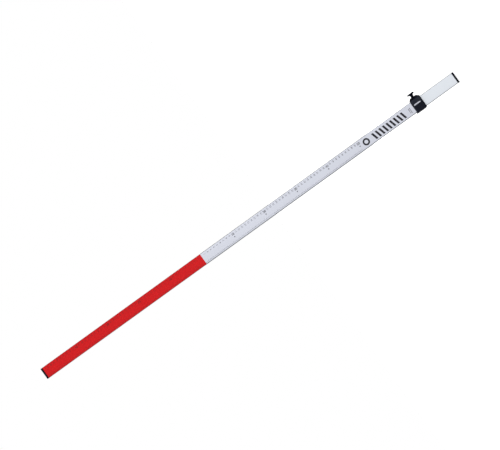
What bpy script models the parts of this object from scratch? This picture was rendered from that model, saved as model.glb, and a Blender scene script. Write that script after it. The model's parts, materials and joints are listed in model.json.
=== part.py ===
"""Two-section levelling rod, slid together: a foot tube behind, a scale channel in front.

The rod stands along +Z with the foot's underside at z = 0.  The scale faces -Y and the
thumb screw points along +X.  Lengths are millimetres here; every mesh is made in metres.
The scale section slides up the foot section: its clamp loops round the foot tube at the
bottom, and a guide shoe on the foot tube's top end runs inside the scale channel.
"""

import bpy
import bmesh
from math import atan2, cos, pi, sin, tan
from mathutils import Matrix, Vector

MM = 0.001
GAP = 0.3
SHARP_ANGLE = 0.5

# How far a cutter runs past what it cuts, and a joined shape into the next one.
OVERLAP = 1.0
STEP_BACK = 0.2

# Whole rod, slid together.
ROD_LENGTH = 1316.8
ROD_WIDTH = 31.3
WALL = 1.6
EDGE_RADIUS = 1.5
INNER_RADIUS = 0.5
LIP_RADIUS = 0.4
PLUG_RADIUS = 0.8
CAP_ROUNDING = 0.6

# Foot tube, centred on y = 0.
FOOT_DEPTH = 14.0
FOOT_CAP_HEIGHT = 5.1

# Scale channel, in front of the foot tube.
SCALE_DEPTH = 13.0
SLIDE_GAP = 0.4
SLOT_WIDTH = 15.0
TOP_CAP_HEIGHT = 4.8

# Clamp, fixed to the channel's lower end.
CLAMP_BOTTOM = 106.3
CLAMP_LENGTH = 31.0
CLAMP_LEFT = -19.0
CLAMP_FRONT_WALL = 3.9
CLAMP_REAR_WALL = 2.7
CLAMP_LEDGE = 3.0
BOSS_TOP = 24.2
BOSS_HALF_DEPTH = 8.0
BOSS_RADIUS = 8.0
SHOULDER_X = 17.2
SHOULDER_HALF_LENGTH = 9.3
SHOULDER_RADIUS = 7.0
CLAMP_CORNER_RADIUS = 3.0
CREASE_X = 1.5
SLOPE_FALL = 2.4
SLOPE_OVERHANG = 1.4
FRONT_CHAMFER = (2.0, 3.0)
REAR_CHAMFER = (1.2, 1.5)
PASSAGE_RADIUS = 1.3
WINDOW_SIZE = (3.4, 19.7)
WINDOW_RADIUS = 0.8
WINDOW_CENTRE_X = 3.45
WINDOW_RISE = 1.0
CLAMP_SCREW_RISES = {"lower": -7.0, "upper": 5.0}

# Thumb screw, M6 with a 1 mm pitch, and what it presses.
STUD_RADIUS = 3.0
KNOB_STEM_RADIUS = 4.4
KNOB_RADIUS = 10.0
KNOB_START = 24.9
KNOB_RIM_START = 31.6
KNOB_TOP = 35.8
KNOB_RIM_RADIUS = 0.8
KNOB_DOME_SHARE = 0.7
KNOB_DOME = 0.4
KNOB_FLARE_HEIGHT = 3.4
KNOB_FLARE_STEPS = 6
STUD_IN_KNOB = 6.6
STUD_POINT = 0.6
PAD_RADIUS = 4.6
PAD_FLOOR = 0.4
PAD_THICKNESS = 1.4
PAD_TRAVEL = 1.5
INSERT_RADIUS = 4.8
INSERT_LENGTH = 2.8
INSERT_CLEARANCE = 0.35

# Guide shoe, end stop and plugs.
SHOE_FLANGE = 3.0
SHOE_HEAD_LENGTH = 70.0
SHOE_HEAD_CLEARANCE = 3.3
SHOE_WEB_DEPTH = 2.0
POCKET_WIDTH = 10.0
POCKET_INSET = 7.0
POCKET_DEPTH = 1.6
SPRING_WIDTH = 8.0
SPRING_RISE = 0.8
SPRING_THICKNESS = 0.4
SPRING_STEPS = 12
PLUG_LENGTH = 26.0
CAP_TONGUE_LENGTH = 22.0
STOP_TOP_Z = 134.0

# Countersunk self-tapping screw.
SCREW_HEAD_RADIUS = 2.8
SCREW_SHANK_RADIUS = 1.45
SCREW_RIM = 0.25
SCREW_SUNK = 0.1
SHORT_SCREW = 8.0
LONG_SCREW = 16.0
SCREW_SPREAD = 8.0

# Places that follow from the sizes above.
HALF_WIDTH = ROD_WIDTH / 2
FOOT_FRONT = -FOOT_DEPTH / 2
FOOT_REAR = FOOT_DEPTH / 2
SCALE_REAR = FOOT_FRONT - SLIDE_GAP
SCALE_FRONT = SCALE_REAR - SCALE_DEPTH
CHANNEL_FRONT = SCALE_FRONT + WALL
CHANNEL_REAR = SCALE_REAR - WALL
CHANNEL_MIDDLE = (CHANNEL_FRONT + CHANNEL_REAR) / 2
CHANNEL_HALF_WIDTH = HALF_WIDTH - WALL
SCALE_TOP = ROD_LENGTH - TOP_CAP_HEIGHT
SCALE_BOTTOM = CLAMP_BOTTOM + CLAMP_LEDGE + GAP
SHOE_TOP = SCALE_TOP - GAP
FOOT_TUBE_TOP = SHOE_TOP - SHOE_FLANGE
SHOE_HEAD_TOP = SCALE_TOP - CAP_TONGUE_LENGTH - SHOE_HEAD_CLEARANCE
SHOE_HEAD_BOTTOM = SHOE_HEAD_TOP - SHOE_HEAD_LENGTH
CLAMP_MIDDLE = CLAMP_BOTTOM + CLAMP_LENGTH / 2
CLAMP_TOP = CLAMP_BOTTOM + CLAMP_LENGTH
CLAMP_FRONT = SCALE_FRONT - GAP - CLAMP_FRONT_WALL
CLAMP_REAR = FOOT_REAR + GAP + CLAMP_REAR_WALL
CLAMP_AXIS = (0, 0, CLAMP_MIDDLE)
PASSAGE_HALF_WIDTH = HALF_WIDTH + GAP
NECK_HALF = SLOT_WIDTH / 2 - GAP
PAD_START = HALF_WIDTH + GAP
PAD_END = PAD_START + PAD_THICKNESS
INSERT_START = PAD_END + PAD_TRAVEL + INSERT_CLEARANCE
INSERT_END = INSERT_START + INSERT_LENGTH
STUD_END = KNOB_START + STUD_IN_KNOB

# Local outline (a, b) and extrusion c of a prism, turned to world X, Y and Z.
TURNS = {
    "X": Matrix(((0, 0, 1), (1, 0, 0), (0, 1, 0))),
    "Y": Matrix(((1, 0, 0), (0, 0, -1), (0, 1, 0))),
    "Z": Matrix.Identity(3),
}
DIRECTIONS = {"X": Vector((1, 0, 0)), "Y": Vector((0, 1, 0)), "Z": Vector((0, 0, 1))}


def clear_scene():
    """Remove what the scene holds."""
    for item in list(bpy.data.objects):
        bpy.data.objects.remove(item, do_unlink=True)


def new_collection(name):
    """A fresh collection in the scene."""
    collection = bpy.data.collections.new(name)
    bpy.context.scene.collection.children.link(collection)
    return collection


def material(name, colour, roughness, metallic):
    """A plain Principled material."""
    made = bpy.data.materials.new(name)
    made.use_nodes = True
    shader = made.node_tree.nodes["Principled BSDF"]
    shader.inputs["Base Color"].default_value = (*colour, 1.0)
    shader.inputs["Roughness"].default_value = roughness
    shader.inputs["Metallic"].default_value = metallic
    return made


def rounded(corners, steps=4):
    """A closed outline through (a, b, radius) corners, each turned by an arc."""
    points = []
    for index, (a, b, radius) in enumerate(corners):
        here = Vector((a, b))
        if radius == 0:
            points.append(here)
            continue
        before = (Vector(corners[index - 1][:2]) - here).normalized()
        after = (Vector(corners[(index + 1) % len(corners)][:2]) - here).normalized()
        half = before.angle(after) / 2
        centre = here + (before + after).normalized() * radius / sin(half)
        first = here + before * radius / tan(half) - centre
        last = here + after * radius / tan(half) - centre
        start = atan2(first.y, first.x)
        sweep = (atan2(last.y, last.x) - start + pi) % (2 * pi) - pi
        for step in range(steps + 1):
            turn = start + sweep * step / steps
            points.append(centre + radius * Vector((cos(turn), sin(turn))))
    return points


def rectangle(low, high, radius=0.0, steps=4):
    """A rectangle's outline, with rounded corners where a radius is given."""
    corners = [(low[0], low[1]), (high[0], low[1]), (high[0], high[1]), (low[0], high[1])]
    return rounded([(a, b, radius) for a, b in corners], steps)


def finish_mesh(mesh):
    """Weld a mesh made in millimetres, face it outwards and bring it to metres."""
    mesh.transform(Matrix.Scale(MM, 4))
    work = bmesh.new()
    work.from_mesh(mesh)
    bmesh.ops.remove_doubles(work, verts=work.verts, dist=0.00001)
    bmesh.ops.recalc_face_normals(work, faces=work.faces)
    work.to_mesh(mesh)
    work.free()
    mesh.shade_smooth()
    mesh.set_sharp_from_angle(angle=SHARP_ANGLE)


def prism(name, outlines, axis, low, high, collection):
    """A solid with the given outline, holes included, running from low to high along axis."""
    curve = bpy.data.curves.new(name, "CURVE")
    curve.dimensions = "2D"
    curve.fill_mode = "BOTH"
    curve.extrude = (high - low) / 2
    for outline in outlines:
        spline = curve.splines.new("POLY")
        spline.points.add(len(outline) - 1)
        for point, place in zip(spline.points, outline):
            point.co = (place[0], place[1], 0, 1)
        spline.use_cyclic_u = True
    flat = bpy.data.objects.new(name + "_outline", curve)
    collection.objects.link(flat)
    evaluated = flat.evaluated_get(bpy.context.evaluated_depsgraph_get())
    mesh = bpy.data.meshes.new_from_object(evaluated)
    bpy.data.objects.remove(flat)
    bpy.data.curves.remove(curve)
    middle = DIRECTIONS[axis] * (low + high) / 2
    mesh.transform(Matrix.Translation(middle) @ TURNS[axis].to_4x4())
    finish_mesh(mesh)
    mesh.name = name
    made = bpy.data.objects.new(name, mesh)
    collection.objects.link(made)
    return made


def bar(name, axis, centre, radius, low, high, collection, segments=24):
    """A round bar along axis from low to high; centre is where its axis crosses the others."""
    work = bmesh.new()
    turn = DIRECTIONS["Z"].rotation_difference(DIRECTIONS[axis]).to_matrix().to_4x4()
    place = Vector(centre) + DIRECTIONS[axis] * (low + high) / 2
    bmesh.ops.create_cone(
        work, cap_ends=True, segments=segments, radius1=radius, radius2=radius,
        depth=high - low, matrix=Matrix.Translation(place) @ turn)
    mesh = bpy.data.meshes.new(name)
    work.to_mesh(mesh)
    work.free()
    finish_mesh(mesh)
    made = bpy.data.objects.new(name, mesh)
    collection.objects.link(made)
    return made


def turned(name, profile, place, pointing, collection, steps=24):
    """A turned piece: the (radius, height) profile runs down its outer side, top to bottom."""
    mesh = bpy.data.meshes.new(name)
    points = [(radius * MM, 0, height * MM) for radius, height in profile]
    edges = [(index, index + 1) for index in range(len(points) - 1)]
    mesh.from_pydata(points, edges, [])
    made = bpy.data.objects.new(name, mesh)
    made.location = Vector(place) * MM
    made.rotation_mode = "QUATERNION"
    made.rotation_quaternion = DIRECTIONS["Z"].rotation_difference(Vector(pointing))
    collection.objects.link(made)
    screw = made.modifiers.new("turn", "SCREW")
    screw.steps = steps
    screw.render_steps = steps
    screw.use_merge_vertices = True
    screw.merge_threshold = 0.00001
    screw.use_smooth_shade = True
    return made


def combine(target, other, operation="DIFFERENCE"):
    """Cut or shape one solid by another with an exact Boolean."""
    modifier = target.modifiers.new(other.name, "BOOLEAN")
    modifier.operation = operation
    modifier.object = other
    modifier.solver = "EXACT"


def soften(target, width, segments=2):
    """Round a solid's sharp edges."""
    modifier = target.modifiers.new("soften", "BEVEL")
    modifier.width = width * MM
    modifier.segments = segments
    modifier.limit_method = "ANGLE"
    modifier.angle_limit = SHARP_ANGLE


def hide_cutter(cutter):
    """Show a cutter as a wire that is never part of the rod."""
    cutter.display_type = "WIRE"
    cutter.hide_render = True


def screw_profile(length, spare=0.0):
    """A countersunk screw's profile, grown by spare for the hole that it goes in."""
    head = SCREW_HEAD_RADIUS + spare
    shank = SCREW_SHANK_RADIUS + spare
    rim = SCREW_RIM + spare * (2 ** 0.5 - 1)
    top = OVERLAP if spare else 0.0
    return [
        (0, top), (head, top), (head, -rim), (shank, -rim - head + shank),
        (shank, -length - spare), (0, -length - spare)]


def fit_screw(name, place, pointing, length, targets, steel):
    """A countersunk screw whose head faces pointing, and its hole in each target."""
    sunk = Vector(place) - Vector(pointing) * SCREW_SUNK
    screw = turned(name, screw_profile(length), sunk, pointing, PARTS, 16)
    screw.data.materials.append(steel)
    hole = turned(name + "_hole", screw_profile(length, GAP), sunk, pointing, CUTTERS, 16)
    hide_cutter(hole)
    for target in targets:
        combine(target, hole)
    return screw


def foot_tube(aluminium):
    """The foot section's closed rectangular tube."""
    outer = rectangle((-HALF_WIDTH, FOOT_FRONT), (HALF_WIDTH, FOOT_REAR), EDGE_RADIUS)
    inner = rectangle(
        (-CHANNEL_HALF_WIDTH, FOOT_FRONT + WALL), (CHANNEL_HALF_WIDTH, FOOT_REAR - WALL),
        INNER_RADIUS, 2)
    tube = prism("foot_profile", [outer, inner], "Z", FOOT_CAP_HEIGHT + GAP, FOOT_TUBE_TOP, PARTS)
    tube.data.materials.append(aluminium)
    return tube


def tube_tongue(name, low, high):
    """The part of a plug that fills the foot tube."""
    spare = WALL + GAP
    outline = rectangle(
        (-HALF_WIDTH + spare, FOOT_FRONT + spare), (HALF_WIDTH - spare, FOOT_REAR - spare),
        PLUG_RADIUS, 2)
    tongue = prism(name, [outline], "Z", low, high, CUTTERS)
    hide_cutter(tongue)
    return tongue


def foot_plug(plastic):
    """The black foot: a plate under the tube with a tongue up into it."""
    outline = rectangle((-HALF_WIDTH, FOOT_FRONT), (HALF_WIDTH, FOOT_REAR), EDGE_RADIUS)
    plug = prism("foot_plug", [outline], "Z", 0, FOOT_CAP_HEIGHT, PARTS)
    soften(plug, CAP_ROUNDING)
    tongue = tube_tongue("foot_plug_tongue", FOOT_CAP_HEIGHT - OVERLAP, PLUG_LENGTH)
    combine(plug, tongue, "UNION")
    plug.data.materials.append(plastic)
    return plug


def channel_block(name, low, high, collection):
    """A block that fills the scale channel between its walls."""
    outline = rectangle(
        (-CHANNEL_HALF_WIDTH + GAP, CHANNEL_FRONT + GAP),
        (CHANNEL_HALF_WIDTH - GAP, CHANNEL_REAR - GAP), PLUG_RADIUS, 2)
    return prism(name, [outline], "Z", low, high, collection)


def guide_shoe(plastic):
    """The shoe on the foot tube's top: a flange, a tongue down the tube and a T-shaped head."""
    outline = rectangle((-HALF_WIDTH, FOOT_FRONT), (HALF_WIDTH, FOOT_REAR), EDGE_RADIUS)
    shoe = prism("guide_shoe", [outline], "Z", FOOT_TUBE_TOP + GAP, SHOE_TOP, PARTS)
    tongue = tube_tongue("guide_shoe_tongue", FOOT_TUBE_TOP - PLUG_LENGTH, SHOE_TOP - OVERLAP)
    inside = CHANNEL_REAR - STEP_BACK / 2
    top = SHOE_TOP - STEP_BACK
    bridge = prism(
        "guide_shoe_bridge", [rectangle((-NECK_HALF, inside), (NECK_HALF, FOOT_FRONT + OVERLAP))],
        "Z", FOOT_TUBE_TOP + GAP + STEP_BACK, top, CUTTERS)
    neck = prism(
        "guide_shoe_neck", [rectangle((-NECK_HALF, inside), (NECK_HALF, FOOT_FRONT - GAP))],
        "Z", SHOE_HEAD_BOTTOM + OVERLAP / 2, top, CUTTERS)
    head = channel_block("guide_shoe_head", SHOE_HEAD_BOTTOM, SHOE_HEAD_TOP, CUTTERS)
    web_half = NECK_HALF - 2 * STEP_BACK
    web_rear = FOOT_FRONT - GAP - STEP_BACK / 2
    web = prism(
        "guide_shoe_web",
        [rectangle((-web_half, CHANNEL_REAR - SHOE_WEB_DEPTH), (web_half, web_rear))],
        "Z", SHOE_HEAD_BOTTOM + OVERLAP, SHOE_HEAD_TOP - OVERLAP, CUTTERS)
    for piece in (tongue, bridge, neck, head, web):
        hide_cutter(piece)
        combine(shoe, piece, "UNION")
    pocket = prism(
        "guide_shoe_pocket",
        [rectangle((-POCKET_WIDTH / 2, SHOE_HEAD_BOTTOM + POCKET_INSET),
                   (POCKET_WIDTH / 2, SHOE_HEAD_TOP - POCKET_INSET))],
        "Y", CHANNEL_FRONT - OVERLAP, CHANNEL_FRONT + GAP + POCKET_DEPTH, CUTTERS)
    hide_cutter(pocket)
    combine(shoe, pocket)
    shoe.data.materials.append(plastic)
    return shoe


def shoe_spring(steel):
    """A bowed leaf in the shoe's pocket that takes up play against the channel's front wall."""
    half_length = SHOE_HEAD_LENGTH / 2 - POCKET_INSET - OVERLAP
    floor = CHANNEL_FRONT + POCKET_DEPTH
    middle = (SHOE_HEAD_BOTTOM + SHOE_HEAD_TOP) / 2
    inner = []
    outer = []
    for step in range(SPRING_STEPS + 1):
        along = -half_length + 2 * half_length * step / SPRING_STEPS
        bow = SPRING_RISE * cos(pi / 2 * along / half_length) ** 2
        inner.append((floor - bow, middle + along))
        outer.append((floor - bow - SPRING_THICKNESS, middle + along))
    spring = prism(
        "guide_shoe_spring", [inner + outer[::-1]], "X", -SPRING_WIDTH / 2, SPRING_WIDTH / 2, PARTS)
    spring.data.materials.append(steel)
    return spring


def scale_channel(aluminium):
    """The scale section's channel, open at the back between two lips."""
    slot = SLOT_WIDTH / 2
    inner = CHANNEL_HALF_WIDTH
    right_side = [
        (HALF_WIDTH, SCALE_FRONT, EDGE_RADIUS), (HALF_WIDTH, SCALE_REAR, EDGE_RADIUS),
        (slot, SCALE_REAR, LIP_RADIUS), (slot, CHANNEL_REAR, LIP_RADIUS),
        (inner, CHANNEL_REAR, INNER_RADIUS), (inner, CHANNEL_FRONT, INNER_RADIUS)]
    left_side = [(-a, b, radius) for a, b, radius in reversed(right_side)]
    outline = rounded(right_side + left_side)
    channel = prism("scale_profile", [outline], "Z", SCALE_BOTTOM, SCALE_TOP - GAP, PARTS)
    channel.data.materials.append(aluminium)
    return channel


def top_cap(plastic):
    """The cap on the channel's top, deep enough to rest on the guide shoe behind it."""
    outline = rectangle((-HALF_WIDTH, SCALE_FRONT), (HALF_WIDTH, FOOT_REAR), EDGE_RADIUS)
    cap = prism("top_cap", [outline], "Z", SCALE_TOP, ROD_LENGTH, PARTS)
    soften(cap, CAP_ROUNDING)
    tongue = channel_block(
        "top_cap_tongue", SCALE_TOP - CAP_TONGUE_LENGTH, SCALE_TOP + OVERLAP, CUTTERS)
    hide_cutter(tongue)
    combine(cap, tongue, "UNION")
    cap.data.materials.append(plastic)
    return cap


def clamp_front_outline():
    """The clamp seen from the front: square towards -X, round shoulders towards the boss."""
    upper = [
        (BOSS_TOP, CLAMP_MIDDLE + SHOULDER_HALF_LENGTH, BOSS_RADIUS),
        (SHOULDER_X, CLAMP_TOP, SHOULDER_RADIUS), (CLAMP_LEFT, CLAMP_TOP, CLAMP_CORNER_RADIUS)]
    lower = [(a, 2 * CLAMP_MIDDLE - b, radius) for a, b, radius in reversed(upper)]
    return rounded(upper + lower, 6)


def clamp_plan_outline():
    """The clamp seen from above: a flat front, a slope from the crease and a narrower boss."""
    slope_end = PASSAGE_HALF_WIDTH + SLOPE_OVERHANG
    left = CLAMP_LEFT - OVERLAP
    right = BOSS_TOP + OVERLAP
    return rounded([
        (left, CLAMP_FRONT, 0), (CREASE_X, CLAMP_FRONT, 0),
        (slope_end, CLAMP_FRONT + SLOPE_FALL, EDGE_RADIUS), (right, -BOSS_HALF_DEPTH, 0),
        (right, BOSS_HALF_DEPTH, 0), (slope_end, CLAMP_REAR, EDGE_RADIUS), (left, CLAMP_REAR, 0)], 3)


def clamp_side_outline():
    """The clamp seen from the side, with chamfered ends."""
    over = STEP_BACK / 2
    front_depth, front_length = FRONT_CHAMFER
    rear_depth, rear_length = REAR_CHAMFER
    return [
        (CLAMP_FRONT, CLAMP_BOTTOM + front_length), (CLAMP_FRONT + front_depth, CLAMP_BOTTOM - over),
        (CLAMP_REAR - rear_depth, CLAMP_BOTTOM - over), (CLAMP_REAR, CLAMP_BOTTOM + rear_length),
        (CLAMP_REAR, CLAMP_TOP - rear_length), (CLAMP_REAR - rear_depth, CLAMP_TOP + over),
        (CLAMP_FRONT + front_depth, CLAMP_TOP + over), (CLAMP_FRONT, CLAMP_TOP - front_length)]


def clamp_passage(name, front, rear, bottom):
    """The room that the clamp leaves for one of the two sections."""
    outline = rectangle((-PASSAGE_HALF_WIDTH, front), (PASSAGE_HALF_WIDTH, rear), PASSAGE_RADIUS)
    return prism(name, [outline], "Z", bottom, CLAMP_TOP + OVERLAP, CUTTERS)


def clamp_window():
    """The slot in the clamp's front, through which the channel shows."""
    half_width = WINDOW_SIZE[0] / 2
    half_length = WINDOW_SIZE[1] / 2
    middle = CLAMP_MIDDLE + WINDOW_RISE
    outline = rectangle(
        (WINDOW_CENTRE_X - half_width, middle - half_length),
        (WINDOW_CENTRE_X + half_width, middle + half_length), WINDOW_RADIUS, 2)
    return prism(
        "clamp_window", [outline], "Y", CLAMP_FRONT - OVERLAP, SCALE_FRONT + OVERLAP, CUTTERS)


def clamp_body(plastic):
    """The moulded loop that joins the two sections and carries the thumb screw."""
    body = prism("clamp_body", [clamp_front_outline()], "Y", CLAMP_FRONT, CLAMP_REAR, PARTS)
    plan_form = prism(
        "clamp_plan", [clamp_plan_outline()], "Z",
        CLAMP_BOTTOM - OVERLAP, CLAMP_TOP + OVERLAP, CUTTERS)
    side_form = prism(
        "clamp_side", [clamp_side_outline()], "X",
        CLAMP_LEFT - OVERLAP, BOSS_TOP + OVERLAP, CUTTERS)
    for form in (plan_form, side_form):
        hide_cutter(form)
        combine(body, form, "INTERSECT")
    passage = clamp_passage(
        "clamp_passage", FOOT_FRONT - GAP, FOOT_REAR + GAP, CLAMP_BOTTOM - OVERLAP)
    seat = clamp_passage("clamp_seat", SCALE_FRONT - GAP, 0, CLAMP_BOTTOM + CLAMP_LEDGE)
    bore = bar("clamp_bore", "X", CLAMP_AXIS, INSERT_RADIUS + GAP, 0, INSERT_END + GAP, CUTTERS)
    mouth = bar("clamp_mouth", "X", CLAMP_AXIS, STUD_RADIUS + GAP, 0, BOSS_TOP + OVERLAP, CUTTERS)
    for cutter in (passage, seat, clamp_window(), bore, mouth):
        hide_cutter(cutter)
        combine(body, cutter)
    body.data.materials.append(plastic)
    return body


def end_stop(plastic):
    """The block in the channel's lower end: the clamp screws bite in it, the shoe stops on it."""
    block = channel_block("end_stop", SCALE_BOTTOM + GAP, STOP_TOP_Z, PARTS)
    neck = prism(
        "end_stop_neck",
        [rectangle((-NECK_HALF, CHANNEL_REAR - SHOE_WEB_DEPTH), (NECK_HALF, SCALE_REAR - STEP_BACK))],
        "Z", SCALE_BOTTOM + GAP + OVERLAP / 2, STOP_TOP_Z - OVERLAP / 2, CUTTERS)
    hide_cutter(neck)
    combine(block, neck, "UNION")
    block.data.materials.append(plastic)
    return block


def pressure_pad(plastic):
    """The disc that the stud's tip pushes against the foot tube's side."""
    pad = bar("pressure_pad", "X", CLAMP_AXIS, PAD_RADIUS, PAD_START, PAD_END, PARTS)
    recess = bar(
        "pad_recess", "X", CLAMP_AXIS, STUD_RADIUS + GAP,
        PAD_START + PAD_FLOOR, PAD_END + OVERLAP, CUTTERS)
    hide_cutter(recess)
    combine(pad, recess)
    pad.data.materials.append(plastic)
    return pad


def threaded_insert(brass):
    """The brass nut pressed into the clamp from inside."""
    nut = bar("threaded_insert", "X", CLAMP_AXIS, INSERT_RADIUS, INSERT_START, INSERT_END, PARTS)
    thread = bar(
        "insert_thread", "X", CLAMP_AXIS, STUD_RADIUS + GAP,
        INSERT_START - OVERLAP, INSERT_END + OVERLAP, CUTTERS)
    hide_cutter(thread)
    combine(nut, thread)
    nut.data.materials.append(brass)
    return nut


def thumb_screw_stud(steel):
    """The threaded stud, from the pad's recess into the knob."""
    tip = PAD_START + PAD_FLOOR + GAP
    profile = [
        (0, STUD_END), (STUD_RADIUS, STUD_END), (STUD_RADIUS, tip + STUD_POINT),
        (STUD_RADIUS - STUD_POINT, tip), (0, tip)]
    stud = turned("thumb_screw_stud", profile, CLAMP_AXIS, (1, 0, 0), PARTS)
    stud.data.materials.append(steel)
    return stud


def knob_profile():
    """The knob's outline from the middle of its top, round the rim and down the flared stem."""
    flare = KNOB_RADIUS - 1.5 * KNOB_RIM_RADIUS - KNOB_STEM_RADIUS
    profile = [
        (0, KNOB_TOP), (KNOB_RADIUS * KNOB_DOME_SHARE, KNOB_TOP - KNOB_DOME / 2),
        (KNOB_RADIUS - KNOB_RIM_RADIUS, KNOB_TOP - KNOB_DOME),
        (KNOB_RADIUS, KNOB_TOP - KNOB_DOME - KNOB_RIM_RADIUS),
        (KNOB_RADIUS, KNOB_RIM_START + KNOB_RIM_RADIUS),
        (KNOB_RADIUS - KNOB_RIM_RADIUS, KNOB_RIM_START)]
    for step in range(1, KNOB_FLARE_STEPS + 1):
        turn = pi / 2 * step / KNOB_FLARE_STEPS
        profile.append((
            KNOB_STEM_RADIUS + flare * (1 - sin(turn)),
            KNOB_RIM_START - KNOB_FLARE_HEIGHT * (1 - cos(turn))))
    profile += [
        (KNOB_STEM_RADIUS, KNOB_START + LIP_RADIUS), (KNOB_STEM_RADIUS - LIP_RADIUS, KNOB_START),
        (0, KNOB_START)]
    return profile


def thumb_screw_knob(plastic):
    """The T-shaped knob: a stem that flares under a broad round head."""
    knob = turned("thumb_screw_knob", knob_profile(), CLAMP_AXIS, (1, 0, 0), PARTS, 32)
    socket = bar(
        "knob_socket", "X", CLAMP_AXIS, STUD_RADIUS + GAP,
        KNOB_START - OVERLAP, STUD_END + GAP, CUTTERS)
    hide_cutter(socket)
    combine(knob, socket)
    knob.data.materials.append(plastic)
    return knob


def body_frame(name, place, pieces, parent=None):
    """An empty on a moving body's joint, holding its pieces."""
    frame = bpy.data.objects.new(name, None)
    frame.location = Vector(place) * MM
    PARTS.objects.link(frame)
    if parent:
        frame.parent = parent
        frame.location -= parent.location
    for piece in pieces:
        piece.parent = frame
        piece.location -= Vector(place) * MM
    return frame


def build():
    """Make every piece, fit the screws and hang the moving bodies on their frames."""
    aluminium = material("satin_aluminium", (0.72, 0.74, 0.78), 0.35, 1.0)
    black = material("black_plastic", (0.02, 0.02, 0.025), 0.5, 0.0)
    white = material("pale_plastic", (0.7, 0.7, 0.68), 0.5, 0.0)
    steel = material("zinc_steel", (0.6, 0.6, 0.6), 0.35, 1.0)
    brass = material("brass", (0.75, 0.55, 0.25), 0.35, 1.0)

    tube = foot_tube(aluminium)
    plug = foot_plug(black)
    shoe = guide_shoe(white)
    shoe_spring(steel)
    channel = scale_channel(aluminium)
    cap = top_cap(black)
    clamp = clamp_body(black)
    stop = end_stop(white)
    pad = pressure_pad(white)
    insert = threaded_insert(brass)
    stud = thumb_screw_stud(steel)
    knob = thumb_screw_knob(black)

    sliding = [channel, cap, clamp, stop, insert]
    for side, sign in (("left", -1), ("right", 1)):
        x = sign * SCREW_SPREAD
        rear = (0, 1, 0)
        foot_height = (FOOT_CAP_HEIGHT + PLUG_LENGTH) / 2
        shoe_height = FOOT_TUBE_TOP - PLUG_LENGTH / 2
        fit_screw(
            "foot_plug_screw_" + side, (x, FOOT_REAR, foot_height), rear, SHORT_SCREW,
            (tube, plug), steel)
        fit_screw(
            "guide_shoe_screw_" + side, (x, FOOT_REAR, shoe_height), rear, SHORT_SCREW,
            (tube, shoe), steel)
        cap_place = (sign * HALF_WIDTH, CHANNEL_MIDDLE, SCALE_TOP - CAP_TONGUE_LENGTH / 2)
        sliding.append(fit_screw(
            "top_cap_screw_" + side, cap_place, (sign, 0, 0), SHORT_SCREW, (channel, cap), steel))
    for level, rise in CLAMP_SCREW_RISES.items():
        clamp_place = (CLAMP_LEFT, CHANNEL_MIDDLE, CLAMP_MIDDLE + rise)
        sliding.append(fit_screw(
            "clamp_screw_" + level, clamp_place, (-1, 0, 0), LONG_SCREW,
            (clamp, channel, stop), steel))

    section = body_frame("scale_section", (0, 0, 0), sliding)
    pad_frame = body_frame("clamp_pad", (0, 0, 0), [pad], section)
    body_frame("thumb_screw", CLAMP_AXIS, [stud, knob], pad_frame)


clear_scene()
PARTS = new_collection("leveling_rod")
CUTTERS = new_collection("cutters")
build()
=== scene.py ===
"""Looks of the two-section levelling rod: metals, moulded plastic, printed scale and light."""

import json
from math import cos, pi, radians, sin

import bmesh
import bpy
from mathutils import Matrix, Vector

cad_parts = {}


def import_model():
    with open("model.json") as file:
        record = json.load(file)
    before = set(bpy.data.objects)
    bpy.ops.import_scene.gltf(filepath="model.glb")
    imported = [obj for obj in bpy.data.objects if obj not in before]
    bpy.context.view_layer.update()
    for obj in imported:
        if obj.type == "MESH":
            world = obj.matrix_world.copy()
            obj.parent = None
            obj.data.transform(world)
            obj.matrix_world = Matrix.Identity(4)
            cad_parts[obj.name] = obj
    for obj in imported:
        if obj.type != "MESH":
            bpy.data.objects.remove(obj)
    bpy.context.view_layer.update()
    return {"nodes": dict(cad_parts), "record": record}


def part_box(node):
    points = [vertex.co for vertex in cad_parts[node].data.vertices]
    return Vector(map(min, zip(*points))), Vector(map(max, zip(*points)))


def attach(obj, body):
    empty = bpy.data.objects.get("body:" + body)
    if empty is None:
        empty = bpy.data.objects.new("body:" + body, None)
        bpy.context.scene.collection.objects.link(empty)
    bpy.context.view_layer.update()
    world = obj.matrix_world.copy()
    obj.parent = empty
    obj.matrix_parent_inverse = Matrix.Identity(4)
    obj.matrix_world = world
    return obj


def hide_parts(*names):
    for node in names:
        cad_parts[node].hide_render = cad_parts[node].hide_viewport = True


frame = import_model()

MM = 0.001

# Bodies that pieces ride on.
FOOT = "foot_section"
SCALE = "scale_section"
PAD = "clamp_pad"
SCREW = "thumb_screw"

# CAD nodes that get a smooth skin with the same shape: the node, its body and its finish.
SKINNED = (
    ("foot_profile", FOOT, "aluminium"), ("foot_plug", FOOT, "black_plastic"),
    ("guide_shoe", FOOT, "pale_plastic"), ("guide_shoe_spring", FOOT, "steel"),
    ("scale_profile", SCALE, "aluminium"), ("top_cap", SCALE, "black_plastic"),
    ("end_stop", SCALE, "pale_plastic"), ("threaded_insert", SCALE, "brass"),
    ("pressure_pad", PAD, "pale_plastic"))

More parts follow.
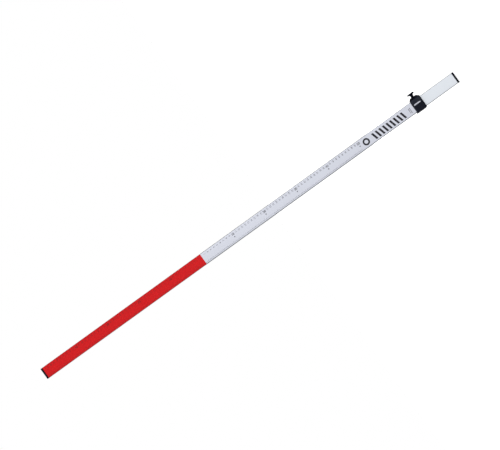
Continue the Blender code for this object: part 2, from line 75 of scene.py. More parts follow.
# Countersunk screws: the node, its body and the way that its head faces.
SCREWS = (
    ("foot_plug_screw_left", FOOT, (0, 1, 0)), ("foot_plug_screw_right", FOOT, (0, 1, 0)),
    ("guide_shoe_screw_left", FOOT, (0, 1, 0)), ("guide_shoe_screw_right", FOOT, (0, 1, 0)),
    ("top_cap_screw_left", SCALE, (-1, 0, 0)), ("top_cap_screw_right", SCALE, (1, 0, 0)),
    ("clamp_screw_lower", SCALE, (-1, 0, 0)), ("clamp_screw_upper", SCALE, (-1, 0, 0)))
SCREW_HEAD_RADIUS = 2.8 * MM
SCREW_SHANK_RADIUS = 1.45 * MM
SCREW_RIM = 0.25 * MM
SCREW_SIDES = 20
SCREW_PITCH = 1.1 * MM
SCREW_RINGS_A_PITCH = 8
SCREW_THREAD_DEPTH = 0.4 * MM
SCREW_THREAD_SHARPNESS = 1.6
SCREW_POINT = 1.6 * MM
RECESS_HALF_LENGTH = 1.5 * MM
RECESS_HALF_WIDTH = 0.32 * MM
RECESS_DEPTH = 1.3 * MM
RECESS_OVERSHOOT = 0.3 * MM
RECESS_TAPER = (1.15, 0.45)
STUD_RADIUS = 3.0 * MM
STUD_POINT = 0.6 * MM
STUD_SIDES = 40
STUD_PITCH = 1.0 * MM
STUD_RINGS_A_PITCH = 10
STUD_THREAD_DEPTH = 0.54 * MM
STUD_THREAD_SHARPNESS = 1.15

# Places taken from the frame.
KNOB_LOW, KNOB_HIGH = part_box("thumb_screw_knob")
STUD_LOW, STUD_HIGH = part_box("thumb_screw_stud")
FACE_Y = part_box("scale_profile")[0].y
ROD_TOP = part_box("top_cap")[1].z
KNOB_Z = (KNOB_LOW.z + KNOB_HIGH.z) / 2

# Clamp shell and knob; the shares are of the knob's rim radius.
SHELL_VOXEL = 0.3 * MM
SHELL_KEEP = 0.22
KNOB_SIDES = 216
KNOB_STEM_RADIUS = 4.4 * MM
KNOB_HEAD_HEIGHT = 4.2 * MM
KNOB_FLARE_HEIGHT = 3.4 * MM
KNOB_FLARE_STEPS = 12
KNOB_TOP_ROUNDING = 1.2 * MM
KNOB_RIM_ROUNDING = 0.7 * MM
KNOB_RIM_DROP = 0.3 * MM
KNOB_LIP_DROP = 0.1 * MM
KNOB_DISH_DEPTH = 0.5 * MM
KNOB_DISH_SHARES = (0.66, 0.6, 0.55)
FLUTE_COUNT = 18
FLUTE_DEPTH = 0.45 * MM
FLUTE_START_SHARE = 0.86
FLUTE_FADE_SHARE = 0.12

# Printed scale: centimetres count both ways from the zero, red above it and plain below.
CENTIMETRE = 0.01
SCALE_ZERO = 0.808
SCALE_END = 50
PRINT_PROUD = 0.05 * MM
PRINT_SUNK = 0.05 * MM
SMALL_NUMBER_X = 8.8 * MM
SMALL_NUMBER_HEIGHT = 4.2 * MM
DECIMETRE_X = 7.5 * MM
DECIMETRE_HEIGHT = 6.2 * MM
DECIMETRE_WEIGHT = 0.018
DOT_X = -0.5 * MM
DOT_RADIUS = 1.5 * MM
TICK_X = -12.2 * MM
TICK_WIDTH = 0.28 * MM
TICK_LENGTHS = {10: 3.6 * MM, 5: 2.6 * MM, 1: 1.6 * MM}

# Distances from the middle over which the painted shade on the extrusions' corners sets in, then
# ends.
CORNER_SHADE_RISE = (13.9 * MM, 15.0 * MM)
CORNER_SHADE_FALL = (15.5 * MM, 15.64 * MM)

# Surround: the axis, the span along it, and the strength at the span's two ends.
GLOWS = (
    ("Y", -0.45, -0.98, 0.06, 0.95), ("Y", 0.25, 0.9, 0.0, 0.5), ("Z", 0.4, 0.95, 0.0, 2.6))

# Camera: a width in metres, angles in degrees, and the (x, z) place that it aims at.
LENS = 200
SENSOR_WIDTH = 36
PICTURE_WIDTH = 1.2945
CAMERA_SWING = -2.05
CAMERA_AIM = (0.8 * MM, 0.6584)
# Which way the picture's right points in the XZ plane, in degrees from +X towards +Z.
CAMERA_ROLL = -125.79419

# Generic marks near the clamp; the dashes are (right, left) pairs in millimetres.
STRIPE_SPAN = (0.165, 0.267)
STRIPE_SIDES = (-11.0 * MM, 8.3 * MM)
STRIPE_COUNT = 9
STRIPE_SHARE = 0.5
STRIPE_SLANT = 5.0 * MM
RING_PLACE = (-0.5 * MM, 0.288)
RING_RADII = (9.6 * MM, 5.2 * MM)
RING_STEPS = 48
DASH_ROWS = ((0.1462, 0.1482), (0.1498, 0.1518))
DASHES = (((5.7, 1.6), (1.2, -3.6), (-4.2, -9.6)), ((4.6, -0.8), (-1.6, -5.0), (-5.8, -8.4)))


def linear(*srgb):
    """An sRGB colour, 0 to 255, as linear RGBA."""
    values = []
    for value in srgb:
        share = value / 255
        values.append(share / 12.92 if share <= 0.04045 else ((share + 0.055) / 1.055) ** 2.4)
    return (*values, 1.0)


# Materials.

class Nodes:
    """A material's node tree with short ways to add and join nodes."""

    def __init__(self, name):
        self.material = bpy.data.materials.new(name)
        self.material.use_nodes = True
        self.tree = self.material.node_tree
        self.shader = self.tree.nodes["Principled BSDF"]

    def add(self, kind, **settings):
        """A node of that kind, with its properties set."""
        node = self.tree.nodes.new(kind)
        for key, value in settings.items():
            setattr(node, key, value)
        return node

    def join(self, output, target):
        """Link an output socket to an input socket."""
        self.tree.links.new(output, target)

    def set(self, **values):
        """Set sockets on the shader; an underscore in a name stands for a space."""
        for key, value in values.items():
            self.shader.inputs[key.replace("_", " ")].default_value = value

    def place(self, scale):
        """Object coordinates, stretched by scale."""
        coordinates = self.add("ShaderNodeTexCoord")
        mapping = self.add("ShaderNodeMapping")
        mapping.inputs["Scale"].default_value = scale
        self.join(coordinates.outputs["Object"], mapping.inputs["Vector"])
        return mapping.outputs["Vector"]

    def noise(self, scale, stretch=(1, 1, 1), detail=3.0):
        """A noise value, 0 to 1, at that many features per metre."""
        node = self.add("ShaderNodeTexNoise")
        node.inputs["Scale"].default_value = scale
        node.inputs["Detail"].default_value = detail
        self.join(self.place(stretch), node.inputs["Vector"])
        return node.outputs["Fac"]

    def spread(self, value, low, high):
        """A noise value brought from its usual 0.3 to 0.7 to a range."""
        node = self.add("ShaderNodeMapRange")
        node.inputs["From Min"].default_value = 0.3
        node.inputs["From Max"].default_value = 0.7
        node.inputs["To Min"].default_value = low
        node.inputs["To Max"].default_value = high
        self.join(value, node.inputs["Value"])
        return node.outputs["Result"]

    def mix(self, share, first, second):
        """A colour mix; share is a socket, the colours are RGBA values or sockets."""
        node = self.add("ShaderNodeMix", data_type="RGBA")
        self.join(share, node.inputs["Factor"])
        for socket, colour in ((node.inputs[6], first), (node.inputs[7], second)):
            if isinstance(colour, tuple):
                socket.default_value = colour
            else:
                self.join(colour, socket)
        return node.outputs[2]

    def bump(self, height, strength, distance):
        """Bump the shader's surface by a height value."""
        node = self.add("ShaderNodeBump")
        node.inputs["Strength"].default_value = strength
        node.inputs["Distance"].default_value = distance
        self.join(height, node.inputs["Height"])
        self.join(node.outputs["Normal"], self.shader.inputs["Normal"])


def corner_share(made):
    """1 along the extrusions' long rounded corners, which get painted shade there, else 0."""
    coordinates = made.add("ShaderNodeTexCoord")
    split = made.add("ShaderNodeSeparateXYZ")
    made.join(coordinates.outputs["Object"], split.inputs["Vector"])
    across = made.add("ShaderNodeMath", operation="ABSOLUTE")
    made.join(split.outputs["X"], across.inputs[0])
    shares = []
    for start, end in (CORNER_SHADE_RISE, CORNER_SHADE_FALL):
        ramp = made.add("ShaderNodeMapRange", interpolation_type="SMOOTHSTEP")
        ramp.inputs["From Min"].default_value = start
        ramp.inputs["From Max"].default_value = end
        made.join(across.outputs["Value"], ramp.inputs["Value"])
        shares.append(ramp.outputs["Result"])
    share = made.add("ShaderNodeMath", operation="SUBTRACT")
    made.join(shares[0], share.inputs[0])
    made.join(shares[1], share.inputs[1])
    return share.outputs["Value"]


def dulled(made, colour, keep):
    """A colour darkened by painted shade along the long rounded corners to that share of itself.
    """
    darker = made.add("ShaderNodeMix", data_type="RGBA", blend_type="MULTIPLY")
    darker.inputs[7].default_value = (keep, keep, keep, 1.0)
    made.join(colour, darker.inputs[6])
    made.join(corner_share(made), darker.inputs["Factor"])
    return darker.outputs[2]


def extruded_metal(made, base):
    """Satin anodised extrusion: fine lines along Z, a soft unevenness in its gloss, and painted
    shade on its long rounded corners.
    """
    lines = made.noise(9000, (1, 1, 0.004), 2.0)
    clouds = made.noise(18, (1, 1, 0.35))
    darker = tuple(value * 0.9 for value in base[:3]) + (1.0,)
    colour = made.mix(made.spread(lines, 0.0, 0.5), base, darker)
    colour = made.mix(made.spread(clouds, 0.0, 0.35), colour, darker)
    made.bump(lines, 0.12, 0.00002)
    # Painted shade: the long rounded corners are darkened to 0.4 of the colour.
    return dulled(made, colour, 0.4), made.spread(lines, 0.3, 0.4)


def plain_aluminium():
    """The foot tube's silver surface."""
    made = Nodes("satin_aluminium")
    colour, roughness = extruded_metal(made, linear(243, 248, 255))
    made.join(colour, made.shader.inputs["Base Color"])
    made.join(roughness, made.shader.inputs["Roughness"])
    made.set(Metallic=1.0)
    return made.material


def scale_aluminium():
    """The scale channel's surface: silver below the zero, red coated above it."""
    made = Nodes("scale_aluminium")
    silver, silver_roughness = extruded_metal(made, linear(222, 225, 236))
    coordinates = made.add("ShaderNodeTexCoord")
    split = made.add("ShaderNodeSeparateXYZ")
    made.join(coordinates.outputs["Object"], split.inputs["Vector"])
    above = made.add("ShaderNodeMath", operation="GREATER_THAN")
    above.inputs[1].default_value = SCALE_ZERO
    made.join(split.outputs["Z"], above.inputs[0])
    red_share = above.outputs["Value"]
    orange_peel = made.noise(700, (1, 1, 0.5), 2.0)
    red = made.mix(made.spread(orange_peel, 0.0, 1.0), linear(198, 5, 12), linear(189, 3, 9))
    # Painted shade: the red's long rounded corners are darkened to half of the colour.
    colour = made.mix(red_share, silver, dulled(made, red, 0.5))
    made.join(colour, made.shader.inputs["Base Color"])
    metal = made.add("ShaderNodeMath", operation="SUBTRACT")
    metal.inputs[0].default_value = 1.0
    made.join(red_share, metal.inputs[1])
    made.join(metal.outputs["Value"], made.shader.inputs["Metallic"])
    rough = made.add("ShaderNodeMix", data_type="FLOAT")
    made.join(red_share, rough.inputs["Factor"])
    made.join(silver_roughness, rough.inputs[2])
    made.join(made.spread(orange_peel, 0.42, 0.5), rough.inputs[3])
    made.join(rough.outputs[0], made.shader.inputs["Roughness"])
    made.shader.inputs["Specular IOR Level"].default_value = 0.18
    return made.material


def moulded_plastic(name, dark, light, roughness, grain, specular, tint=(1, 1, 1, 1)):
    """Moulded plastic with a fine grained skin and slightly uneven colour."""
    made = Nodes(name)
    pebble = made.add("ShaderNodeTexVoronoi", feature="SMOOTH_F1")
    pebble.inputs["Scale"].default_value = grain
    made.join(made.place((1, 1, 1)), pebble.inputs["Vector"])
    wear = made.noise(120)
    made.join(made.mix(made.spread(wear, 0.0, 1.0), dark, light), made.shader.inputs["Base Color"])
    made.join(made.spread(wear, *roughness), made.shader.inputs["Roughness"])
    made.bump(pebble.outputs["Distance"], 0.25, 0.00006)
    made.shader.inputs["Specular IOR Level"].default_value = specular
    made.shader.inputs["Specular Tint"].default_value = tint
    return made.material


def turned_metal(name, base, darker, roughness):
    """Plated or turned metal with fine tool marks and dull patches."""
    made = Nodes(name)
    marks = made.noise(4000, (1, 1, 1), 4.0)
    patches = made.noise(350)
    colour = made.mix(made.spread(patches, 0.0, 1.0), base, darker)
    made.join(colour, made.shader.inputs["Base Color"])
    made.join(made.spread(patches, *roughness), made.shader.inputs["Roughness"])
    made.bump(marks, 0.15, 0.00002)
    made.set(Metallic=1.0)
    return made.material


def ink(name, colour, faded):
    """Printing ink, slightly uneven in cover."""
    made = Nodes(name)
    cover = made.noise(1500, (1, 1, 1), 3.0)
    uneven = made.mix(made.spread(cover, 0.0, 1.0), colour, faded)
    made.join(uneven, made.shader.inputs["Base Color"])
    made.join(made.spread(cover, 0.45, 0.6), made.shader.inputs["Roughness"])
    made.shader.inputs["Specular IOR Level"].default_value = 0.25
    return made.material


# Mesh helpers.

def piece_from(name, mesh, material, body):
    """A named object for a mesh, with its finish, riding on a body."""
    mesh.name = name
    made = bpy.data.objects.new(name, mesh)
    bpy.context.scene.collection.objects.link(made)
    mesh.materials.clear()
    mesh.materials.append(material)
    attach(made, body)
    return made


def smooth(mesh, angle=radians(32)):
    """Shade a mesh smooth but for its sharp edges."""
    mesh.shade_smooth()
    mesh.set_sharp_from_angle(angle=angle)


def evaluated_mesh(source):
    """A copy of an object's mesh with its modifiers applied."""
    bpy.context.view_layer.update()
    graph = bpy.context.evaluated_depsgraph_get()
    return bpy.data.meshes.new_from_object(source.evaluated_get(graph), depsgraph=graph)


def applied(mesh, *modifiers):
    """Run a mesh through modifiers, each a type and its settings, and return the new mesh."""
    carrier = bpy.data.objects.new("carrier", mesh)
    bpy.context.scene.collection.objects.link(carrier)
    for kind, settings in modifiers:
        modifier = carrier.modifiers.new(kind.lower(), kind)
        for key, value in settings.items():
            setattr(modifier, key, value)
    result = evaluated_mesh(carrier)
    bpy.data.objects.remove(carrier)
    return result


def welded_copy(node):
    """A CAD node's mesh with its split corners joined and its flat areas made whole."""
    work = bmesh.new()
    work.from_mesh(frame["nodes"][node].data)
    bmesh.ops.remove_doubles(work, verts=work.verts, dist=0.002 * MM)
    bmesh.ops.dissolve_limit(
        work, angle_limit=radians(0.5), verts=work.verts, edges=work.edges)
    mesh = bpy.data.meshes.new(node + "_copy")
    work.to_mesh(mesh)
    work.free()
    return mesh


def lathe(profile, steps, reshape=None):
    """A closed mesh turned about X from an (x, radius) profile that begins and ends on it."""
    work = bmesh.new()
    rings = []
    for x, radius in profile:
        if radius == 0:
            rings.append([work.verts.new((x, 0, 0))])
            continue
        ring = []
        for step in range(steps):
            turn = 2 * pi * step / steps
            reach = reshape(x, radius, turn) if reshape else radius
            ring.append(work.verts.new((x, reach * cos(turn), reach * sin(turn))))
        rings.append(ring)
    for first, second in zip(rings, rings[1:]):
        for step in range(steps):
            following = (step + 1) % steps
            if len(first) == 1:
                work.faces.new((first[0], second[step], second[following]))
            elif len(second) == 1:
                work.faces.new((first[step], second[0], first[following]))
            else:
                work.faces.new((first[step], second[step], second[following], first[following]))
    bmesh.ops.recalc_face_normals(work, faces=work.faces)
    mesh = bpy.data.meshes.new("turned")
    work.to_mesh(mesh)
    work.free()
    return mesh


def arc(centre, radius, start, end, steps):
    """Points along an arc, angles in degrees."""
    points = []
    for step in range(steps + 1):
        turn = radians(start + (end - start) * step / steps)
        points.append((centre[0] + radius * cos(turn), centre[1] + radius * sin(turn)))
    return points


# Print.

def flat_print(work, outline):
    """Add a closed, thin solid to work: an (x, z) outline on the scale face."""
    near = FACE_Y - PRINT_PROUD
    far = FACE_Y + PRINT_SUNK
    front = [work.verts.new((x, near, z)) for x, z in outline]
    rear = [work.verts.new((x, far, z)) for x, z in outline]
    work.faces.new(front)
    work.faces.new(rear[::-1])
    count = len(outline)
    for index in range(count):
        following = (index + 1) % count
        work.faces.new((front[index], rear[index], rear[following], front[following]))


def print_piece(name, work, material):
    """Finish a set of printed marks as one piece on the scale section."""
    bmesh.ops.recalc_face_normals(work, faces=work.faces)
    mesh = bpy.data.meshes.new(name)
    work.to_mesh(mesh)
    work.free()
    return piece_from(name, mesh, material, SCALE)


def figure_mesh(text, height, weight):
    """A number as a thin closed mesh centred on the origin, facing +Z."""
    curve = bpy.data.curves.new("figure", "FONT")
    curve.body = text
    curve.align_x = "CENTER"
    curve.align_y = "CENTER"
    curve.size = 1.0
    curve.resolution_u = 8
    curve.offset = weight
    curve.extrude = (PRINT_PROUD + PRINT_SUNK) / 2
    holder = bpy.data.objects.new("figure", curve)
    bpy.context.scene.collection.objects.link(holder)
    mesh = evaluated_mesh(holder)
    bpy.data.objects.remove(holder)
    bpy.data.curves.remove(curve)
    work = bmesh.new()
    work.from_mesh(mesh)
    bpy.data.meshes.remove(mesh)
    bmesh.ops.remove_doubles(work, verts=work.verts, dist=0.00001)
    low = [min(v.co[k] for v in work.verts) for k in (0, 1)]
    high = [max(v.co[k] for v in work.verts) for k in (0, 1)]
    size = height / (high[1] - low[1])
    middle = Vector(((low[0] + high[0]) / 2, (low[1] + high[1]) / 2, 0))
    for vertex in work.verts:
        vertex.co -= middle
        vertex.co.x *= size
        vertex.co.y *= size
    made = bpy.data.meshes.new("figure_" + text)
    work.to_mesh(made)
    work.free()
    return made


# How a number's own axes lie on the scale face.
UPRIGHT = Matrix(((1, 0, 0), (0, 0, -1), (0, 1, 0))).to_4x4()
ALONG_ROD = Matrix(((0, 1, 0), (0, 0, -1), (-1, 0, 0))).to_4x4()


def place_figure(work, mesh, x, z, turn):
    """Add a number's mesh to work, on the scale face at (x, z)."""
    copy = mesh.copy()
    middle = FACE_Y + (PRINT_SUNK - PRINT_PROUD) / 2
    copy.transform(Matrix.Translation((x, middle, z)) @ turn)
    work.from_mesh(copy)
    bpy.data.meshes.remove(copy)


def scale_numbers(small_inks, bold_inks):
    """The centimetre and decimetre numbers, both ways from the zero."""
    small = {count: figure_mesh(str(count), SMALL_NUMBER_HEIGHT, 0.0)
             for count in range(1, SCALE_END + 1)}
    bold = {}
    for count in range(10, SCALE_END + 1, 10):
        # The small triangle in a 4 closes up when its outline is thickened.
        weight = 0.0 if "4" in str(count) else DECIMETRE_WEIGHT
        bold[count] = figure_mesh(str(count), DECIMETRE_HEIGHT, weight)
    for part, sign, small_ink, bold_ink in (
            ("silver", -1, small_inks[0], bold_inks[0]), ("red", 1, small_inks[1], bold_inks[1])):
        fine = bmesh.new()
        large = bmesh.new()
        for count in range(1, SCALE_END + 1):
            z = SCALE_ZERO + sign * count * CENTIMETRE
            if count % 10:
                place_figure(fine, small[count], SMALL_NUMBER_X, z, UPRIGHT)
            elif sign < 0 or count < SCALE_END:
                place_figure(large, bold[count], DECIMETRE_X, z, ALONG_ROD)
        print_piece("centimetre_numbers_" + part, fine, small_ink)
        print_piece("decimetre_numbers_" + part, large, bold_ink)
    for mesh in (*small.values(), *bold.values()):
        bpy.data.meshes.remove(mesh)


def scale_ticks(inks):
    """A line for each millimetre, longer at the half and whole centimetres."""
    for part, sign, material in (("silver", -1, inks[0]), ("red", 1, inks[1])):
        work = bmesh.new()
        for count in range(1, SCALE_END * 10 + 1):
            z = SCALE_ZERO + sign * count * CENTIMETRE / 10
            step = 10 if count % 10 == 0 else 5 if count % 5 == 0 else 1
            half = TICK_WIDTH / 2
            end = TICK_X + TICK_LENGTHS[step]
            flat_print(work, [
                (TICK_X, z - half), (end, z - half), (end, z + half), (TICK_X, z + half)])
        print_piece("scale_lines_" + part, work, material)


def decimetre_dots(material):
    """A round dot at each decimetre of the plain half."""
    work = bmesh.new()
    for count in range(10, SCALE_END + 1, 10):
        flat_print(work, arc((DOT_X, SCALE_ZERO - count * CENTIMETRE), DOT_RADIUS, 0, 345, 23))
    print_piece("decimetre_dots", work, material)


def generic_marks(black, grey):
    """Plain stripes, a ring and two rows of dashes between the scale and the clamp."""
    work = bmesh.new()
    low, high = STRIPE_SPAN
    pitch = (high - low - STRIPE_SLANT) / (STRIPE_COUNT - 1 + STRIPE_SHARE)
    left, right = STRIPE_SIDES
    for index in range(STRIPE_COUNT):
        z = low + index * pitch
        top = z + pitch * STRIPE_SHARE
        flat_print(work, [
            (left, z), (right, z + STRIPE_SLANT), (right, top + STRIPE_SLANT), (left, top)])
    print_piece("plain_stripes", work, black)
    work = bmesh.new()
    outer, inner = RING_RADII
    middle_x, middle_z = RING_PLACE
    for step in range(RING_STEPS):
        corners = []
        for radius, turn in ((outer, step), (outer, step + 1), (inner, step + 1), (inner, step)):
            angle = 2 * pi * turn / RING_STEPS
            corners.append((middle_x + radius * cos(angle), middle_z + radius * sin(angle)))
        front = [work.verts.new((x, FACE_Y - PRINT_PROUD, z)) for x, z in corners]
        rear = [work.verts.new((x, FACE_Y + PRINT_SUNK, z)) for x, z in corners]
        work.faces.new(front)
        work.faces.new(rear[::-1])
        work.faces.new((front[0], front[1], rear[1], rear[0]))
        work.faces.new((front[2], front[3], rear[3], rear[2]))
    bmesh.ops.remove_doubles(work, verts=work.verts, dist=0.001 * MM)
    print_piece("plain_ring", work, black)
    work = bmesh.new()
    for (bottom, top), row in zip(DASH_ROWS, DASHES):
        for right, left in row:
            flat_print(work, [
                (left * MM, bottom), (right * MM, bottom), (right * MM, top), (left * MM, top)])
    print_piece("plain_dashes", work, grey)


# Solid pieces.

def skin(node, body, material):
    """The node's own shape with joined corners, so that its round edges shade smoothly."""
    mesh = welded_copy(node)
    smooth(mesh)
    mesh = applied(mesh, ("WEIGHTED_NORMAL", {"keep_sharp": True}))
    made = piece_from(node + "_skin", mesh, material, body)
    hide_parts(node)


def thread(pitch, depth, start, end, sharpness):
    """A lathe reshape that cuts a helical groove between two places along the axis."""
    def reach(x, radius, turn):
        if not start <= x <= end:
            return radius
        phase = (x / pitch + turn / (2 * pi)) % 1.0
        return radius - depth * min(1.0, sharpness * (1.0 - abs(2 * phase - 1.0)))
    return reach


def cross_cutter():
    """A tapered cross, pointing along -X from just above a screw's head."""
    arm = RECESS_HALF_WIDTH
    work = bmesh.new()
    rings = []
    for x, share in zip((RECESS_OVERSHOOT, -RECESS_DEPTH), RECESS_TAPER):
        end = RECESS_HALF_LENGTH * share
        ring = []
        for quarter in range(4):
            turn = Matrix.Rotation(quarter * pi / 2, 3, "X")
            for y, z in ((end, -arm), (end, arm), (arm, arm)):
                ring.append(work.verts.new(turn @ Vector((x, y, z))))
        rings.append(ring)
    work.faces.new(rings[0])
    work.faces.new(rings[1][::-1])
    for index in range(12):
        following = (index + 1) % 12
        work.faces.new((
            rings[0][index], rings[1][index], rings[1][following], rings[0][following]))
    bmesh.ops.recalc_face_normals(work, faces=work.faces)
    mesh = bpy.data.meshes.new("cross")
    work.to_mesh(mesh)
    work.free()
    made = bpy.data.objects.new("cross", mesh)
    bpy.context.scene.collection.objects.link(made)
    return made


def self_tapping_screw(length, cross):
    """A countersunk cross-head screw along X, its head's top at x = 0."""
    head, shank = SCREW_HEAD_RADIUS, SCREW_SHANK_RADIUS
    neck = -SCREW_RIM - (head - shank)
    point = -length + SCREW_POINT
    steps = round((neck - point) / SCREW_PITCH * SCREW_RINGS_A_PITCH)
    points = [(-length, 0), (-length + 0.15 * MM, 0.3 * MM)]
    points += [(point + (neck - point) * step / steps, shank) for step in range(steps + 1)]
    points += [(-SCREW_RIM, head), (-0.08 * MM, head), (0, head - 0.12 * MM), (0, 0)]
    depth = SCREW_THREAD_DEPTH
    groove = thread(SCREW_PITCH, depth, -length, neck - depth, SCREW_THREAD_SHARPNESS)
    mesh = lathe(points, SCREW_SIDES, groove)
    mesh = applied(
        mesh, ("BOOLEAN", {"operation": "DIFFERENCE", "object": cross, "solver": "EXACT"}))
    smooth(mesh)
    return mesh


def screws(material):
    """The eight cross-head screws."""
    cross = cross_cutter()
    for node, body, facing in SCREWS:
        low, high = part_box(node)
        outward = Vector(facing)
        size = high - low
        length = abs(size.dot(outward))
        mesh = self_tapping_screw(length, cross)
        turn = Vector((1, 0, 0)).rotation_difference(outward).to_matrix().to_4x4()
        place = (low + high) / 2 + outward * length / 2
        mesh.transform(Matrix.Translation(place) @ turn)
        made = piece_from(node + "_cross_head", mesh, material, body)
        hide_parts(node)
    bpy.data.objects.remove(cross)


def stud(material):
    """The thumb screw's threaded stud."""
    start, end = STUD_LOW.x, STUD_HIGH.x
    first, last = start + STUD_POINT, end - STUD_POINT
    steps = round((last - first) / STUD_PITCH * STUD_RINGS_A_PITCH)
    points = [(start, 0), (start, STUD_RADIUS - STUD_POINT)]
    points += [(first + (last - first) * step / steps, STUD_RADIUS) for step in range(steps + 1)]
    points += [(end, STUD_RADIUS - STUD_POINT), (end, 0)]
    groove = thread(STUD_PITCH, STUD_THREAD_DEPTH, first, last, STUD_THREAD_SHARPNESS)
    mesh = lathe(points, STUD_SIDES, groove)
    mesh.transform(Matrix.Translation((0, 0, KNOB_Z)))
    smooth(mesh, radians(60))
    made = piece_from("threaded_stud", mesh, material, SCREW)
    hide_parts("thumb_screw_stud")


def clamp_shell(material):
    """The moulded clamp with softly rounded edges."""
    mesh = applied(
        frame["nodes"]["clamp_body"].data.copy(),
        ("REMESH", {"mode": "VOXEL", "voxel_size": SHELL_VOXEL, "adaptivity": 0.0}),
        ("SMOOTH", {"factor": 0.5, "iterations": 5}),
        ("DECIMATE", {"ratio": SHELL_KEEP}))
    smooth(mesh, radians(50))
    shell = piece_from("clamp_shell", mesh, material, SCALE)
    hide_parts("clamp_body")


def knob_profile():
    """The knob's (x, radius) line, from the stem's end round to the middle of its top."""
    stem = KNOB_STEM_RADIUS
    rim = KNOB_HIGH.z - KNOB_Z
    start = KNOB_LOW.x
    top = KNOB_HIGH.x
    rim_start = top - KNOB_HEAD_HEIGHT
    flare_start = rim_start - KNOB_FLARE_HEIGHT
    flare = rim - KNOB_TOP_ROUNDING - stem
    points = [(start, 0), (start, stem - 0.5 * MM)]
    points += [(start + 0.15 * MM, stem - 0.15 * MM), (start + 0.5 * MM, stem)]
    points.append((flare_start, stem))
    for step in range(1, KNOB_FLARE_STEPS + 1):
        turn = pi / 2 * step / KNOB_FLARE_STEPS
        x = flare_start + KNOB_FLARE_HEIGHT * sin(turn)
        points.append((x, stem + flare * (1 - cos(turn))))
    lower, upper = KNOB_RIM_ROUNDING, KNOB_TOP_ROUNDING
    points += arc((rim_start + lower, rim - lower), lower, 180, 90, 6)
    points += arc((top - KNOB_RIM_DROP - upper, rim - upper), upper, 90, 25, 6)
    outer, inner, dish = (rim * share for share in KNOB_DISH_SHARES)
    points += [(top - KNOB_LIP_DROP, outer), (top - KNOB_LIP_DROP, inner)]
    points += [(top - KNOB_DISH_DEPTH, dish), (top - KNOB_DISH_DEPTH, 0)]
    return points


def fluted(_x, radius, turn):
    """A lathe reshape that cuts grip flutes round the knob's rim."""
    rim = KNOB_HIGH.z - KNOB_Z
    share = (radius - rim * FLUTE_START_SHARE) / (rim * FLUTE_FADE_SHARE)
    share = max(0.0, min(1.0, share))
    return radius - share * FLUTE_DEPTH * (0.5 - 0.5 * cos(FLUTE_COUNT * turn)) ** 2


def knob(material):
    """The thumb screw's fluted knob."""
    mesh = lathe(knob_profile(), KNOB_SIDES, fluted)
    mesh.transform(Matrix.Translation((0, 0, KNOB_Z)))
    smooth(mesh, radians(40))
    made = piece_from("thumb_knob", mesh, material, SCREW)
    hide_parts("thumb_screw_knob")


# Light, floor and camera.

def world():
    """White to the camera; as light it is bright in front and above, softer behind, dim aside."""
    made = bpy.data.worlds.new("studio")
    bpy.context.scene.world = made
    made.use_nodes = True
    tree = made.node_tree
    nodes = tree.nodes
    nodes.clear()
    direction = nodes.new("ShaderNodeTexCoord")
    split = nodes.new("ShaderNodeSeparateXYZ")
    tree.links.new(direction.outputs["Generated"], split.inputs["Vector"])
    glow = None
    for axis, start, end, low, high in GLOWS:
        ramp = nodes.new("ShaderNodeMapRange")
        ramp.interpolation_type = "SMOOTHSTEP"
        ramp.inputs["From Min"].default_value = start
        ramp.inputs["From Max"].default_value = end
        ramp.inputs["To Min"].default_value = low
        ramp.inputs["To Max"].default_value = high
        tree.links.new(split.outputs[axis], ramp.inputs["Value"])
        if glow is None:
            glow = ramp.outputs["Result"]
            continue
        total = nodes.new("ShaderNodeMath")
        total.operation = "ADD"
        tree.links.new(glow, total.inputs[0])
        tree.links.new(ramp.outputs["Result"], total.inputs[1])
        glow = total.outputs["Value"]
    lit = nodes.new("ShaderNodeBackground")
    tree.links.new(glow, lit.inputs["Strength"])
    seen = nodes.new("ShaderNodeBackground")
    seen.inputs["Strength"].default_value = 1.0
    seen.inputs["Color"].default_value = (1, 1, 1, 1)
    path = nodes.new("ShaderNodeLightPath")
    choice = nodes.new("ShaderNodeMixShader")
    tree.links.new(path.outputs["Is Camera Ray"], choice.inputs["Fac"])
    tree.links.new(lit.outputs["Background"], choice.inputs[1])
    tree.links.new(seen.outputs["Background"], choice.inputs[2])
    output = nodes.new("ShaderNodeOutputWorld")
    tree.links.new(choice.outputs["Shader"], output.inputs["Surface"])


def floor():
    """A wide pale floor under the foot."""
    work = bmesh.new()
    bmesh.ops.create_circle(work, cap_ends=True, segments=64, radius=60)
    mesh = bpy.data.meshes.new("floor")
    work.to_mesh(mesh)
    work.free()
    made = Nodes("pale_floor")
    tone = made.noise(2.0)
    pale = made.mix(made.spread(tone, 0.0, 1.0), (0.92, 0.92, 0.92, 1), (0.95, 0.95, 0.95, 1))
    made.join(pale, made.shader.inputs["Base Color"])
    made.set(Roughness=0.9)
    made.shader.inputs["Specular IOR Level"].default_value = 0.0
    mesh.materials.append(made.material)
    plane = bpy.data.objects.new("floor", mesh)
    plane.visible_glossy = False
    bpy.context.scene.collection.objects.link(plane)


def area_light(name, azimuth, elevation, distance, size, power):
    """A soft square light aimed at the rod's middle; azimuth 0 is in front, 90 at +X."""
    data = bpy.data.lights.new(name, "AREA")
    data.shape = "RECTANGLE"
    data.size, data.size_y = size
    data.energy = power
    lamp = bpy.data.objects.new(name, data)
    bpy.context.scene.collection.objects.link(lamp)
    turn, rise = radians(azimuth), radians(elevation)
    away = Vector((sin(turn) * cos(rise), -cos(turn) * cos(rise), sin(rise)))
    lamp.location = Vector((0, 0, ROD_TOP / 2)) + away * distance
    lamp.rotation_mode = "QUATERNION"
    lamp.rotation_quaternion = away.to_track_quat("Z", "Y")


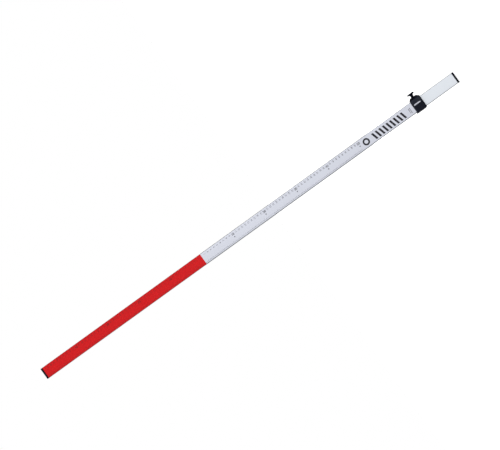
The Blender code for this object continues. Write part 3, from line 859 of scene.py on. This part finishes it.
def camera():
    """A long lens level with the rod's middle, rolled so that the rod lies across the picture."""
    data = bpy.data.cameras.new("camera")
    data.lens = LENS
    data.sensor_width = SENSOR_WIDTH
    distance = PICTURE_WIDTH * LENS / SENSOR_WIDTH
    data.clip_end = 200
    made = bpy.data.objects.new("camera", data)
    bpy.context.scene.collection.objects.link(made)
    roll = radians(CAMERA_ROLL)
    right = Vector((cos(roll), 0, sin(roll)))
    up = Vector((-sin(roll), 0, cos(roll)))
    back = Vector((0, -1, 0))
    rolled = Matrix((right, up, back)).transposed()
    swing = Matrix.Rotation(radians(CAMERA_SWING), 3, "Z")
    target = Vector((CAMERA_AIM[0], FACE_Y, CAMERA_AIM[1]))
    place = Matrix.Translation(target + swing @ back * distance)
    made.matrix_world = place @ (swing @ rolled).to_4x4()
    bpy.context.scene.camera = made


def finish_nodes():
    """Give the CAD nodes that stay their finishes."""
    aluminium = plain_aluminium()
    marked = scale_aluminium()
    black = moulded_plastic(
        "black_plastic", (0.0012, 0.0014, 0.004, 1), (0.0035, 0.004, 0.01, 1), (0.25, 0.34),
        1600, 0.17, (0.72, 0.8, 1.0, 1))
    pale = moulded_plastic(
        "pale_plastic", (0.6, 0.6, 0.57, 1), (0.7, 0.7, 0.67, 1), (0.4, 0.5), 1200, 0.5)
    steel = turned_metal("zinc_steel", (0.62, 0.62, 0.63, 1), (0.5, 0.5, 0.52, 1), (0.28, 0.42))
    brass = turned_metal("brass", (0.78, 0.57, 0.26, 1), (0.66, 0.46, 0.2, 1), (0.25, 0.4))
    finishes = {
        "black_plastic": black, "pale_plastic": pale, "steel": steel, "brass": brass,
        "aluminium": aluminium, "marked": marked}
    for row in frame["record"]["subparts"]:
        node = frame["nodes"][row["node"]]
        finish = marked if row["node"] == "scale_profile" else finishes[row["material_slot"]]
        for slot in node.material_slots:
            slot.material = finish
    return finishes


bpy.context.scene.view_settings.view_transform = "Standard"
camera()
world()
floor()
area_light("side_light", azimuth=21, elevation=0, distance=5, size=(1.0, 2.0), power=36)
area_light("rear_light", azimuth=170, elevation=15, distance=5, size=(1.6, 2.4), power=90)
FINISHES = finish_nodes()
scale_numbers(
    (ink("grey_ink", linear(36, 36, 42), linear(54, 54, 60)),
     ink("dark_red_ink", linear(120, 14, 18), linear(134, 18, 22))),
    (ink("black_ink", linear(40, 40, 46), linear(60, 60, 66)),
     ink("deep_red_ink", linear(104, 12, 16), linear(118, 16, 20))))
scale_ticks((bpy.data.materials["grey_ink"], bpy.data.materials["dark_red_ink"]))
decimetre_dots(bpy.data.materials["black_ink"])
generic_marks(
    ink("stripe_ink", linear(22, 22, 30), linear(34, 34, 42)),
    ink("dash_ink", linear(116, 116, 124), linear(124, 124, 132)))
clamp_shell(FINISHES["black_plastic"])
knob(FINISHES["black_plastic"])
stud(FINISHES["steel"])
screws(FINISHES["steel"])
for skinned_node, skinned_body, skinned_slot in SKINNED:
    skinned_finish = "marked" if skinned_node == "scale_profile" else skinned_slot
    skin(skinned_node, skinned_body, FINISHES[skinned_finish])
